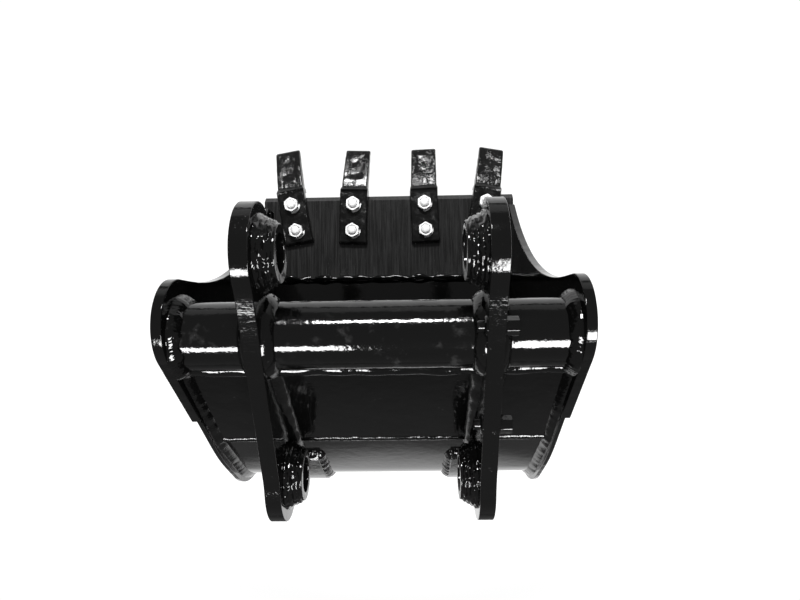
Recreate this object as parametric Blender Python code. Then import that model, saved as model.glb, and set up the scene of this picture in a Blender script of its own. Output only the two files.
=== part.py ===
"""Digging bucket with two hanger ears, a torque tube and four bolt-on teeth.

Metres, +Z up. The bucket lies on its lip and floor with the mouth up and forward:
X runs across the bucket, +Y points forward over the teeth. Outlines are drawn in the
YZ plane with Y = 0 at the front edge of the lip and Z = 0 at the underside, and the
finished part is moved so that its box is centred over the origin.
"""
import math

import bmesh
import bpy
from mathutils import Matrix, Vector

# ---- driving dimensions ----
FIT = 0.0003                     # clearance between pieces that touch

BUCKET_WIDTH = 0.600             # over the outer faces of the thick side edges
EDGE_THICKNESS = 0.015           # thick front part of each side
SIDE_THICKNESS = 0.0075          # thin rear part of each side
SHELL_THICKNESS = 0.010          # floor, heel and back plate

LIP_LENGTH = 0.199
LIP_THICKNESS = 0.020
LIP_BEVEL = 0.011

TUBE_RADIUS = 0.051
TUBE_WALL = 0.0142
TUBE_CENTRE = (-0.323, 0.577)

SEAM = (-0.505, 0.418)           # outer corner where the back plate meets the floor sheet
HEEL_ANGLE = 31.0                # lean of the floor sheet below the seam, from upright
HEEL_RADIUS = 0.186

SCOOP_SETBACK = 0.031            # foot of the scooped edge, behind the lip's front
SCOOP_RISE = 0.020               # and its height over the lip
SCOOP_START_ANGLE = 45.0         # rise of the scooped edge as it leaves its foot
SCOOP_RADIUS = 0.70
BUMP_RADIUS = 0.068              # round top of each side, over the tube
BUMP_OFFSET = (0.017, 0.011)     # from the tube's centre
SIDE_BACK_ANGLE = 38.0           # lean of the side's back edge, from upright
SIDE_HEEL_RADIUS = 0.200
SIDE_PROUD = 0.0208              # rear edge of the side, out from the floor sheet
SEAM_TOP = 0.502                 # height where thick and thin side plates part

PIN_FRONT = (-0.208, 0.635)
PIN_REAR = (-0.556, 0.452)
EAR_THICKNESS = 0.025
EAR_GAP = 0.308                  # between the inner faces of the ears
EAR_FRONT_RADIUS = 0.072
EAR_REAR_RADIUS = 0.074
EAR_WAIST = 0.068                # near edge of the ear from the line of the pins
EAR_NECK_RADIUS = 0.150
EAR_FOOT_ANGLE = -10.0           # where the ear's foot starts on the tube
EAR_TOE = 0.004

BOSS_RADIUS = 0.042
BORE_RADIUS = 0.028
BOSS_LENGTH = 0.0275             # inward from the ear
BOSS_CHAMFER = 0.002
COLLAR_WIDTH = 0.014             # weld collar where the boss leaves the ear
COLLAR_DIP = 0.0018              # hollow of the collar's slope

STRAP_WIDTH = 0.068
STRAP_LAP = 0.034                # inward of the ear's inner face
STRAP_THICKNESS = 0.012
STRAP_START = 0.020              # below the end of the ear's foot
STRAP_END_ANGLE = 52.0           # below level, round the heel

TOOTH_WIDTH = 0.067
TOOTH_THICKNESS = 0.018
TOOTH_FOOT = 0.092               # behind the front bolt
TOOTH_REACH = 0.114              # ahead of the lip
TOOTH_CHAMFER = 0.003
TOOTH_UNDER_CHAMFER = 0.0015
TOOTH_CLEARANCE = 0.0015         # under the blade and ahead of the lip
FOOT_BEVEL = 0.004               # sloped end of the foot
RIDGE_AHEAD = 0.013              # bend of the tooth, ahead of the lip
BLADE_WIDTH = 0.063
BLADE_STEP = 0.009               # length of the steep fall in front of the bend
BLADE_DROP = 0.008               # and its depth
BLADE_BULGE = 0.003              # crown of the blade's slope
TIP_THICKNESS = 0.008
TIP_BEVEL = 0.005
HOLLOW_DEPTH = 0.0025            # hollow on top of the blade
HOLLOW_MARGIN = 0.0085           # from the blade's edge to the hollow
HOLLOW_SLOPE = 0.008
HOLLOW_START = 0.035             # in front of the bend
HOLLOW_END = 0.028               # behind the tip
BOLT_SETBACK = 0.025
BOLT_PITCH = 0.063
CORNER_TOOTH_INSET = 0.0695      # from the bucket's side to the corner tooth's front bolt
MIDDLE_TEETH_PITCH = 0.169
TEETH_OFFSET = 0.0015            # the whole row sits a little to one side
# turn of each tooth's shank and of its blade, in degrees towards +X: they are set by hand
TOOTH_TURNS = ((-10.0, -6.0), (1.8, 5.2), (-1.8, 0.6), (10.0, 8.0))

BOLT_RADIUS = 0.010
BOLT_HEAD_RADIUS = 0.0175
BOLT_HEAD_DEPTH = 0.009
BOLT_PROUD = 0.005
BOLT_POINT = 0.0028              # chamfer on the bolt's end
BOLT_DOME = 0.0008
HOLE_CLEARANCE = 0.0008
NUT_FLATS = 0.030
NUT_HEIGHT = 0.016
NUT_CHAMFER = 0.0011
WASHER_RADIUS = 0.0185
WASHER_THICKNESS = 0.003

KEEPER_FRONT_Y = -0.312
KEEPER_REAR_Y = -0.457
KEEPER_GAP = 0.0012              # between the front keeper's nut and the tube
KEEPER_MARGIN = 0.015            # from the ear's near edge to the rear stud's middle
KEEPER_RADIUS = 0.008
KEEPER_STAND = 0.013             # the stud's end stands out of the ear's inner face
KEEPER_PROUD = 0.001
KEEPER_CHAMFER = 0.002
KEEPER_FLATS = 0.024
KEEPER_NUT = 0.018

ARC_STEP = 7.5                   # largest turn between two points of an arc, in degrees
ARC_SAG = 0.0003                 # largest gap between an arc and its chords
ROUND_SIDES = 40
SMALL_SIDES = 18
NUT_SIDES = 24
EDGE_BREAK = 0.0012
BREAK_ANGLE = 40.0               # edges sharper than this are broken
SMOOTH_ANGLE = 35.0              # edges blunter than this are shaded smooth
CUT_PAST = 0.010                 # how far a drilled hole's cutter runs past the metal

SIDE_INNER = BUCKET_WIDTH / 2 - EDGE_THICKNESS
EAR_INNER = EAR_GAP / 2
EAR_OUTER = EAR_INNER + EAR_THICKNESS


# ---- flat geometry ----
def unit(angle):
    return Vector((math.cos(math.radians(angle)), math.sin(math.radians(angle))))


def left_of(direction):
    return Vector((-direction.y, direction.x))


def arc(centre, radius, start, end):
    """Points on a circle from one angle to another, both in radians."""
    step_turn = min(math.radians(ARC_STEP), 2 * math.acos(1 - ARC_SAG / radius))
    steps = max(1, math.ceil(abs(end - start) / step_turn))
    angles = [start + (end - start) * step / steps for step in range(steps + 1)]
    return [Vector(centre) + radius * Vector((math.cos(a), math.sin(a))) for a in angles]


def heading(vector):
    return math.atan2(vector.y, vector.x)


def turned(start, end):
    """The end angle, brought within half a turn of the start."""
    return start + (end - start + math.pi) % (2 * math.pi) - math.pi


def onward(start, end):
    """The end angle, brought within one whole turn past the start."""
    return start + (end - start) % (2 * math.pi)


def meet(point, direction, other, other_direction):
    """Where two lines cross."""
    gap = Vector(other) - Vector(point)
    share = gap.cross(other_direction) / direction.cross(other_direction)
    return Vector(point) + direction * share


def line_to_circle(point, direction, centre, radius):
    """First point where a ray from outside reaches a circle."""
    reach = (Vector(centre) - Vector(point)).dot(direction)
    offset = (Vector(centre) - Vector(point)).cross(direction)
    half_chord = math.sqrt(max(0.0, radius ** 2 - offset ** 2))
    return Vector(point) + direction * (reach - half_chord)


def rounded(corners):
    """An outline through (point, radius) corners, each rounded by its radius."""
    points = []
    for index, (corner, radius) in enumerate(corners):
        if radius == 0:
            points.append(Vector(corner))
            continue
        corner = Vector(corner)
        before = (Vector(corners[index - 1][0]) - corner).normalized()
        after = (Vector(corners[(index + 1) % len(corners)][0]) - corner).normalized()
        half = before.angle(after) / 2
        centre = corner + (before + after).normalized() * (radius / math.sin(half))
        first = corner + before * (radius / math.tan(half))
        last = corner + after * (radius / math.tan(half))
        start = heading(first - centre)
        points += arc(centre, radius, start, turned(start, heading(last - centre)))
    return points


def tangent_angle(centre, radius, point, side):
    """Angle on a circle of the tangent point seen from a point outside it."""
    away = Vector(point) - Vector(centre)
    spread = math.acos(min(1.0, radius / away.length))
    return heading(away) + side * spread


# ---- shapes shared by several pieces ----
def down_the_floor():
    """Direction of the floor sheet from the seam towards the heel."""
    return -unit(90.0 - HEEL_ANGLE)


def heel_path():
    """The floor sheet's outer line, from the seam down, round the heel and forward."""
    corner = meet(SEAM, down_the_floor(), (0.0, 0.0), unit(0.0))
    front = Vector((-LIP_LENGTH - FIT, 0.0))
    return rounded([(SEAM, 0), (corner, HEEL_RADIUS), (front, 0)])


def heel_centre():
    arc_start = heel_path()[1]
    return arc_start + left_of(down_the_floor()) * HEEL_RADIUS


def back_direction():
    """Up the back plate: its outer face ends on the tube's rearmost line."""
    rear = Vector(TUBE_CENTRE) - Vector((TUBE_RADIUS, 0.0))
    return (rear - Vector(SEAM)).normalized()


def offset_line(points, distance):
    """A line moved sideways, to the left of its travel."""
    moved = []
    for index, point in enumerate(points):
        before = points[max(index - 1, 0)]
        after = points[min(index + 1, len(points) - 1)]
        moved.append(point + left_of((after - before).normalized()) * distance)
    return moved


def seam_inner():
    """Inner end of the mitre where the back plate meets the floor sheet."""
    plate_normal = left_of(-back_direction())
    sheet_normal = left_of(down_the_floor())
    middle = (plate_normal + sheet_normal).normalized()
    return Vector(SEAM) + middle * (SHELL_THICKNESS / middle.dot(sheet_normal))


def bump_centre():
    return Vector(TUBE_CENTRE) + Vector(BUMP_OFFSET)


def side_back():
    """The straight back edge of the side: where it leaves the bump, and its direction down."""
    down = -unit(90.0 - SIDE_BACK_ANGLE)
    return bump_centre() - left_of(down) * BUMP_RADIUS, down


def side_seam():
    """Upper end of the weld between the thick and the thin plate."""
    start, down = side_back()
    return meet(start, down, (0.0, SEAM_TOP), unit(0.0))


def thick_side_outline():
    """The side's front: from the lip up the scoop, over the bump and back to the lip."""
    base = LIP_THICKNESS + FIT
    foot = Vector((-SCOOP_SETBACK, LIP_THICKNESS + SCOOP_RISE))
    deepest = bump_centre() + Vector((BUMP_RADIUS, 0.0))
    scoop = meet(foot, unit(180.0 - SCOOP_START_ANGLE), deepest, unit(90.0))
    start, down = side_back()
    bump_corner = meet(start, down, deepest, unit(90.0))
    return rounded([
        ((foot.x, base), 0),
        (foot, 0),
        (scoop, SCOOP_RADIUS),
        (bump_corner, BUMP_RADIUS),
        (side_seam(), 0),
        ((-LIP_LENGTH, base), 0),
    ])


def thin_side_outline():
    """The side's rear: down the back edge, round the heel and along the floor to the lip."""
    top = side_seam()
    lip_corner = Vector((-LIP_LENGTH, LIP_THICKNESS + FIT))
    along = (lip_corner - top).normalized()
    apart = left_of(along) * -FIT
    start, down = side_back()
    rear = Vector(SEAM) - left_of(down_the_floor()) * SIDE_PROUD
    toe = Vector((-LIP_LENGTH - FIT, 0.0))
    return rounded([
        (meet(top + apart, along, top, down), 0),
        (meet(start, down, rear, down_the_floor()), 0),
        (meet(rear, down_the_floor(), (0.0, 0.0), unit(0.0)), SIDE_HEEL_RADIUS),
        (toe, 0),
        (meet(top + apart, along, toe, unit(90.0)), 0),
    ])


# ---- solids ----
def material(name, colour, roughness, metallic):
    made = bpy.data.materials.new(name)
    made.use_nodes = True
    shader = made.node_tree.nodes["Principled BSDF"]
    shader.inputs["Base Color"].default_value = (*colour, 1.0)
    shader.inputs["Roughness"].default_value = roughness
    shader.inputs["Metallic"].default_value = metallic
    return made


def add_object(name, mesh_source, colour):
    mesh = bpy.data.meshes.new(name)
    bmesh.ops.recalc_face_normals(mesh_source, faces=mesh_source.faces)
    mesh_source.to_mesh(mesh)
    mesh_source.free()
    mesh.materials.append(MATERIALS[colour])
    made = bpy.data.objects.new(name, mesh)
    bpy.context.scene.collection.objects.link(made)
    return made


def slab(name, outline, x_low, x_high, colour):
    """A plate cut to an outline in the YZ plane, from one X to another."""
    shape = bmesh.new()
    low = [shape.verts.new((x_low, point.x, point.y)) for point in outline]
    face = shape.faces.new(low)
    grown = bmesh.ops.extrude_face_region(shape, geom=[face])
    moved = [item for item in grown["geom"] if isinstance(item, bmesh.types.BMVert)]
    bmesh.ops.translate(shape, verts=moved, vec=(x_high - x_low, 0.0, 0.0))
    return add_object(name, shape, colour)


def break_edges(piece):
    bevel = piece.modifiers.new("edge_break", "BEVEL")
    bevel.width = EDGE_BREAK
    bevel.segments = 1
    bevel.limit_method = "ANGLE"
    bevel.angle_limit = math.radians(BREAK_ANGLE)


def smooth(piece):
    piece.data.shade_smooth()
    piece.data.set_sharp_from_angle(angle=math.radians(SMOOTH_ANGLE))
    return piece


def turned_solid(name, profile, sides, frame, colour, flats=0.0):
    """A closed (radius, height) profile turned about its axis.

    A radius of 0 is a point on the axis. With flats, radii past the hexagon are drawn in to it.
    """
    shape = bmesh.new()
    rings = []
    for radius, height in profile:
        if radius == 0:
            rings.append([shape.verts.new(frame @ Vector((0.0, 0.0, height)))] * sides)
            continue
        ring = []
        for side in range(sides):
            angle = 2 * math.pi * side / sides
            reach = radius
            if flats:
                wedge = (angle + math.pi / 6) % (math.pi / 3) - math.pi / 6
                reach = min(radius, flats / 2 / math.cos(wedge))
            ring.append(shape.verts.new(
                frame @ Vector((reach * math.cos(angle), reach * math.sin(angle), height))))
        rings.append(ring)
    open_ended = profile[0][0] == 0 and profile[-1][0] == 0
    pairs = list(zip(rings, rings[1:] + ([] if open_ended else rings[:1])))
    for inner, outer in pairs:
        for side in range(sides):
            after = (side + 1) % sides
            corners = [inner[side], inner[after], outer[after], outer[side]]
            loop = list(dict.fromkeys(corners))
            if len(loop) > 2:
                shape.faces.new(loop)
    return smooth(add_object(name, shape, colour))


def upright(x, y, z):
    """A frame whose axis points up."""
    return Matrix.Translation((x, y, z))


def across(x, y, z, side):
    """A frame whose axis points along X, to the given side."""
    return Matrix.Translation((x, y, z)) @ Matrix.Rotation(side * math.pi / 2, 4, "Y")


def cut(piece, cutter):
    cutter.hide_render = True
    cutter.display_type = "WIRE"
    boolean = piece.modifiers.new("cut_" + cutter.name, "BOOLEAN")
    boolean.operation = "DIFFERENCE"
    boolean.solver = "EXACT"
    boolean.object = cutter


def rod_profile(radius, low, high):
    return [(0, low), (radius, low), (radius, high), (0, high)]


def ring_profile(bore, radius, low, high):
    return [(bore, low), (radius, low), (radius, high), (bore, high)]


def nut_profile(bore, flats, low, high):
    corner = flats / math.sqrt(3)
    return [
        (bore, low), (corner - NUT_CHAMFER, low), (corner, low + NUT_CHAMFER),
        (corner, high - NUT_CHAMFER), (corner - NUT_CHAMFER, high), (bore, high),
    ]


# ---- the bucket's shell ----
def make_lip():
    section = [
        Vector((-LIP_LENGTH, 0.0)),
        Vector((0.0, 0.0)),
        Vector((0.0, LIP_THICKNESS - LIP_BEVEL)),
        Vector((-LIP_BEVEL, LIP_THICKNESS)),
        Vector((-LIP_LENGTH, LIP_THICKNESS)),
    ]
    return slab("lip_plate", section, -BUCKET_WIDTH / 2, BUCKET_WIDTH / 2, "lip_steel")


def make_floor():
    outer = heel_path()
    inner = offset_line(outer, SHELL_THICKNESS)
    step = (outer[1] - outer[0]).normalized() * FIT / 2
    outer[0] = Vector(SEAM) + step
    inner[0] = seam_inner() + step
    reach = SIDE_INNER - FIT
    return smooth(slab("floor_sheet", outer + inner[::-1], -reach, reach, "paint"))


def make_back():
    up = back_direction()
    step = up * FIT / 2
    outer_foot = Vector(SEAM) + step
    inner_foot = seam_inner() + step
    radius = TUBE_RADIUS + FIT
    outer_end = line_to_circle(outer_foot, up, TUBE_CENTRE, radius)
    inner_end = line_to_circle(inner_foot, up, TUBE_CENTRE, radius)
    start = heading(outer_end - Vector(TUBE_CENTRE))
    seat = arc(TUBE_CENTRE, radius, start, turned(start, heading(inner_end - Vector(TUBE_CENTRE))))
    reach = SIDE_INNER - FIT
    return slab("back_plate", [outer_foot] + seat + [inner_foot], -reach, reach, "paint")


def make_tube():
    reach = SIDE_INNER - FIT
    profile = [
        (TUBE_RADIUS - TUBE_WALL, -reach),
        (TUBE_RADIUS, -reach),
        (TUBE_RADIUS, reach),
        (TUBE_RADIUS - TUBE_WALL, reach),
    ]
    return turned_solid("torque_tube", profile, ROUND_SIDES, across(0.0, *TUBE_CENTRE, 1), "paint")


def make_sides():
    for name, side in (("left", -1), ("right", 1)):
        inner = side * SIDE_INNER
        thick = slab("side_edge_" + name, thick_side_outline(), inner,
                     side * (SIDE_INNER + EDGE_THICKNESS), "paint")
        thin = slab("side_plate_" + name, thin_side_outline(), inner,
                    side * (SIDE_INNER + SIDE_THICKNESS), "paint")
        break_edges(thick)
        break_edges(thin)


# ---- the hanger ears ----
def neck(radius):
    """Along the pin line, where a hollow neck arc leaves an end arc, and its centre."""
    across_line = EAR_WAIST + EAR_NECK_RADIUS
    span = radius + EAR_NECK_RADIUS
    return math.sqrt(span ** 2 - across_line ** 2), across_line


def ear_near_edge():
    """The edge away from the bucket, from the front end arc to the rear one."""
    front = Vector(PIN_FRONT)
    rear = Vector(PIN_REAR)
    along = (rear - front).normalized()
    out = Vector((along.y, -along.x))
    if out.y < 0:
        out = -out
    points = []
    for centre, radius, run in ((front, EAR_FRONT_RADIUS, 1), (rear, EAR_REAR_RADIUS, -1)):
        reach, rise = neck(radius)
        neck_centre = centre + along * (run * reach) + out * rise
        leave = heading(centre - neck_centre)
        land = turned(leave, heading(-out))
        bend = arc(neck_centre, EAR_NECK_RADIUS, leave, land)
        points += bend if run == 1 else bend[::-1]
    return points


def ear_toe_distance():
    """How far below the seam the ear's foot ends."""
    down = down_the_floor()
    rear = Vector(PIN_REAR) - Vector(SEAM)
    off_line = rear.dot(-left_of(down))
    half_chord = math.sqrt(max(0.0, (EAR_REAR_RADIUS + EAR_TOE) ** 2 - off_line ** 2))
    return rear.dot(down) + half_chord


def ear_outline():
    """One hanger ear: end arcs on the pins, and a foot shaped to tube, back and floor."""
    front = Vector(PIN_FRONT)
    rear = Vector(PIN_REAR)
    tube = Vector(TUBE_CENTRE)
    near = ear_near_edge()

    down = down_the_floor()
    toe = Vector(SEAM) - left_of(down) * FIT + down * ear_toe_distance()

    up = back_direction()
    back_lift = left_of(up) * FIT
    crease = meet(toe, down, Vector(SEAM) + back_lift, up)
    radius = TUBE_RADIUS + FIT
    tube_end = line_to_circle(Vector(SEAM) + back_lift, up, tube, radius)
    seat_start = heading(tube_end - tube) % (2 * math.pi)
    seat = arc(tube, radius, seat_start, math.radians(EAR_FOOT_ANGLE))

    front_start = tangent_angle(front, EAR_FRONT_RADIUS, seat[-1], 1)
    front_end = onward(front_start, heading(near[0] - front))
    front_arc = arc(front, EAR_FRONT_RADIUS, front_start, front_end)
    rear_start = heading(near[-1] - rear)
    rear_end = onward(rear_start, tangent_angle(rear, EAR_REAR_RADIUS, toe, -1))
    rear_arc = arc(rear, EAR_REAR_RADIUS, rear_start, rear_end)
    return front_arc + near[1:-1] + rear_arc + [toe, crease] + seat


def keeper_spots():
    """The front keeper's nut stands clear of the tube, the rear one inside the near edge."""
    tube = Vector(TUBE_CENTRE)
    reach = TUBE_RADIUS + KEEPER_FLATS / 2 + KEEPER_GAP
    ahead = KEEPER_FRONT_Y - tube.x
    front = tube + Vector((ahead, math.sqrt(reach ** 2 - ahead ** 2)))
    pin = Vector(PIN_FRONT)
    along = (Vector(PIN_REAR) - pin).normalized()
    on_line = pin - left_of(along) * (EAR_WAIST - KEEPER_MARGIN)
    rear = meet(on_line, along, (KEEPER_REAR_Y, 0.0), unit(90.0))
    return ("front", front), ("rear", rear)


def make_boss(name, side, centre):
    """A pin boss through the ear, with the weld collar that flares out to the ear's face."""
    start = -BOSS_LENGTH
    waist = COLLAR_WIDTH / 2 - COLLAR_DIP * math.sqrt(0.5)
    profile = [
        (BORE_RADIUS, start + BOSS_CHAMFER),
        (BORE_RADIUS + BOSS_CHAMFER, start),
        (BOSS_RADIUS - BOSS_CHAMFER, start),
        (BOSS_RADIUS, start + BOSS_CHAMFER),
        (BOSS_RADIUS, -COLLAR_WIDTH - FIT),
        (BOSS_RADIUS + waist, -waist - FIT),
        (BOSS_RADIUS + COLLAR_WIDTH, -FIT),
        (BOSS_RADIUS, -FIT),
        (BOSS_RADIUS, EAR_THICKNESS),
        (BORE_RADIUS, EAR_THICKNESS),
    ]
    frame = across(side * EAR_INNER, *centre, side)
    return turned_solid(name, profile, ROUND_SIDES, frame, "paint")


def make_ears():
    for name, side in (("left", -1), ("right", 1)):
        ear = slab("ear_" + name, ear_outline(), side * EAR_INNER, side * EAR_OUTER, "paint")
        break_edges(ear)
        for place, centre in (("front", PIN_FRONT), ("rear", PIN_REAR)):
            make_boss("pin_boss_" + place + "_" + name, side, centre)
            frame = across(side * EAR_INNER, *centre, side)
            hole = rod_profile(BOSS_RADIUS + FIT, -CUT_PAST, EAR_THICKNESS + CUT_PAST)
            cut(ear, turned_solid("cut_" + place + "_" + name, hole, ROUND_SIDES, frame, "paint"))
        if side == 1:
            for place, spot in keeper_spots():
                frame = across(EAR_INNER, *spot, 1)
                hole = rod_profile(KEEPER_RADIUS + FIT, -CUT_PAST, EAR_THICKNESS + CUT_PAST)
                cut(ear, turned_solid("cut_keeper_" + place, hole, SMALL_SIDES, frame, "paint"))


def make_keepers():
    """Two studs through the right ear, over tube and back plate, each with a nut outside."""
    for place, spot in keeper_spots():
        frame = across(EAR_OUTER, *spot, 1)
        nut_top = FIT + KEEPER_NUT
        low = -EAR_THICKNESS - KEEPER_STAND
        high = nut_top + KEEPER_PROUD
        tapered = KEEPER_RADIUS - KEEPER_CHAMFER
        turned_solid("keeper_stud_" + place, [
            (0, low), (tapered, low), (KEEPER_RADIUS, low + KEEPER_CHAMFER),
            (KEEPER_RADIUS, high), (0, high),
        ], SMALL_SIDES, frame, "paint")
        profile = nut_profile(KEEPER_RADIUS + FIT, KEEPER_FLATS, FIT, nut_top)
        turned_solid("keeper_nut_" + place, profile, NUT_SIDES, frame, "paint", KEEPER_FLATS)


# ---- heel straps ----
def make_straps():
    """A bevelled bar under each ear, laid down the floor sheet and round the heel."""
    down = down_the_floor()
    outward = -left_of(down)
    toe = ear_toe_distance() + STRAP_START
    centre = heel_centre()
    start = heading(outward)
    bend = arc(centre, HEEL_RADIUS, start, math.pi + math.radians(STRAP_END_ANGLE))
    directions = [(point - centre).normalized() for point in bend]
    inner = [Vector(SEAM) + down * toe + outward * FIT]
    inner += [centre + way * (HEEL_RADIUS + FIT) for way in directions]
    outer = [Vector(SEAM) + down * (toe + STRAP_THICKNESS) + outward * (FIT + STRAP_THICKNESS)]
    outer += [centre + way * (HEEL_RADIUS + FIT + STRAP_THICKNESS) for way in directions[:-1]]
    near = EAR_INNER - STRAP_LAP
    far = near + STRAP_WIDTH
    for name, side in (("left", -1), ("right", 1)):
        outline = inner + outer[::-1]
        smooth(slab("heel_strap_" + name, outline, side * near, side * far, "paint"))


# ---- teeth ----
def tooth_places():
    """X of each tooth's front bolt, with the turns of its shank and blade."""
    corner = BUCKET_WIDTH / 2 - CORNER_TOOTH_INSET
    middle = MIDDLE_TEETH_PITCH / 2
    middles = (-corner, -middle, middle, corner)
    return [(x + TEETH_OFFSET, *turns) for x, turns in zip(middles, TOOTH_TURNS)]


def tooth_frame(x, shank_turn):
    turn = Matrix.Rotation(-math.radians(shank_turn), 4, "Z")
    return Matrix.Translation((x, -BOLT_SETBACK, 0.0)) @ turn


def tooth_sections(shank_turn):
    """Cross-sections from foot to tip: (y from the front bolt, half width, low, high, hollow)."""
    seat = LIP_THICKNESS + FIT
    top = seat + TOOTH_THICKNESS
    half = TOOTH_WIDTH / 2
    blade_half = BLADE_WIDTH / 2
    base = TOOTH_CLEARANCE
    hook = BOLT_SETBACK + base + half * math.tan(math.radians(abs(shank_turn)))
    ridge = BOLT_SETBACK + RIDGE_AHEAD
    tip = BOLT_SETBACK + TOOTH_REACH
    slope_start = ridge + BLADE_STEP
    slope_end = tip - TIP_BEVEL
    high_end = base + TIP_THICKNESS + TOOTH_CLEARANCE

    def slope(y):
        share = (y - slope_start) / (slope_end - slope_start)
        straight = (top - BLADE_DROP) * (1 - share) + high_end * share
        return straight + 4 * BLADE_BULGE * share * (1 - share)

    sections = [
        (-TOOTH_FOOT, half, seat, top - FOOT_BEVEL, 0.0),
        (-TOOTH_FOOT + FOOT_BEVEL, half, seat, top, 0.0),
        (hook, half, seat, top, 0.0),
        (hook + FIT, half, base, top, 0.0),
        (ridge, half, base, top, 0.0),
        (slope_start, blade_half, base, slope(slope_start), 0.0),
    ]
    for y in (ridge + HOLLOW_START, tip - HOLLOW_END):
        sections.append((y, blade_half, base, slope(y), HOLLOW_DEPTH))
    sections.append((slope_end, blade_half, base, slope(slope_end), 0.0))
    sections.append((tip, blade_half, base + TOOTH_CLEARANCE, base + TIP_THICKNESS, 0.0))
    return sections


def tooth_ring(half, low, high, hollow):
    """One cross-section: chamfered corners and a shallow hollow along the top."""
    rim = half - HOLLOW_MARGIN
    floor = rim - HOLLOW_SLOPE
    right = [
        (half - TOOTH_UNDER_CHAMFER, low), (half, low + TOOTH_UNDER_CHAMFER),
        (half, high - TOOTH_CHAMFER), (half - TOOTH_CHAMFER, high),
        (rim, high), (floor, high - hollow),
    ]
    return right + [(-x, z) for x, z in reversed(right)]


def make_tooth(number, frame, shank_turn, blade_turn):
    lean = math.tan(math.radians(blade_turn - shank_turn))
    shape = bmesh.new()
    rings = []
    for y, half, low, high, hollow in tooth_sections(shank_turn):
        shift = max(0.0, y - BOLT_SETBACK) * lean
        rings.append([shape.verts.new(frame @ Vector((x + shift, y, z)))
                      for x, z in tooth_ring(half, low, high, hollow)])
    for back, front in zip(rings, rings[1:]):
        for corner in range(len(back)):
            after = (corner + 1) % len(back)
            shape.faces.new([back[corner], back[after], front[after], front[corner]])
    shape.faces.new(rings[0])
    shape.faces.new(rings[-1])
    return smooth(add_object("tooth_%d" % number, shape, "tooth_iron"))


def make_teeth(lip):
    tooth_top = LIP_THICKNESS + FIT + TOOTH_THICKNESS
    sink = BOLT_HEAD_RADIUS + HOLE_CLEARANCE
    hole = BOLT_RADIUS + HOLE_CLEARANCE
    drill = [
        (0, -CUT_PAST), (sink, -CUT_PAST), (sink, 0), (hole, BOLT_HEAD_DEPTH),
        (hole, tooth_top + CUT_PAST), (0, tooth_top + CUT_PAST),
    ]
    for number, (x, shank_turn, blade_turn) in enumerate(tooth_places(), 1):
        frame = tooth_frame(x, shank_turn)
        tooth = make_tooth(number, frame, shank_turn, blade_turn)
        for which, y in (("front", 0.0), ("rear", -BOLT_PITCH)):
            name = "%d_%s" % (number, which)
            spot = frame @ upright(0.0, y, 0.0)
            make_tooth_fastener(name, spot, tooth_top)
            cutter = turned_solid("cut_bolt_" + name, drill, SMALL_SIDES, spot, "paint")
            cut(lip, cutter)
            cut(tooth, cutter)


def make_tooth_fastener(name, frame, tooth_top):
    """A flush countersunk bolt from below, a washer and a nut on top of the tooth."""
    washer_low = tooth_top + FIT
    washer_top = washer_low + WASHER_THICKNESS
    nut_low = washer_top + FIT
    nut_top = nut_low + NUT_HEIGHT
    end = nut_top + BOLT_PROUD
    bore = BOLT_RADIUS + FIT
    turned_solid("tooth_bolt_" + name, [
        (0, FIT), (BOLT_HEAD_RADIUS - FIT, FIT), (BOLT_RADIUS, BOLT_HEAD_DEPTH + FIT),
        (BOLT_RADIUS, end - BOLT_POINT), (BOLT_RADIUS - BOLT_POINT, end), (0, end + BOLT_DOME),
    ], SMALL_SIDES, frame, "zinc")
    turned_solid("tooth_washer_" + name, ring_profile(bore, WASHER_RADIUS, washer_low, washer_top),
                 SMALL_SIDES, frame, "zinc")
    turned_solid("tooth_nut_" + name, nut_profile(bore, NUT_FLATS, nut_low, nut_top),
                 NUT_SIDES, frame, "zinc", NUT_FLATS)


def stand_over_origin():
    """Move every piece so that the whole box is centred over the origin, on Z = 0."""
    pieces = [item for item in bpy.data.objects if item.type == "MESH"]
    corners = [vertex.co for piece in pieces if not piece.hide_render
               for vertex in piece.data.vertices]
    middle_y = (min(c.y for c in corners) + max(c.y for c in corners)) / 2
    base = min(c.z for c in corners)
    for piece in pieces:
        piece.data.transform(Matrix.Translation((0.0, -middle_y, -base)))


for old in list(bpy.data.objects):
    bpy.data.objects.remove(old, do_unlink=True)

MATERIALS = {
    "paint": material("gloss_black_paint", (0.006, 0.006, 0.007), 0.22, 0.0),
    "lip_steel": material("dark_painted_lip", (0.012, 0.012, 0.013), 0.30, 0.0),
    "tooth_iron": material("black_cast_tooth", (0.010, 0.010, 0.011), 0.38, 0.0),
    "zinc": material("zinc_plate", (0.78, 0.80, 0.82), 0.25, 1.0),
}

lip_plate = make_lip()
make_floor()
make_back()
make_tube()
make_sides()
make_ears()
make_keepers()
make_straps()
make_teeth(lip_plate)
stand_over_origin()
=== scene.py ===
import math

import bmesh
import bpy
from mathutils import Matrix, Vector, noise


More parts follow.
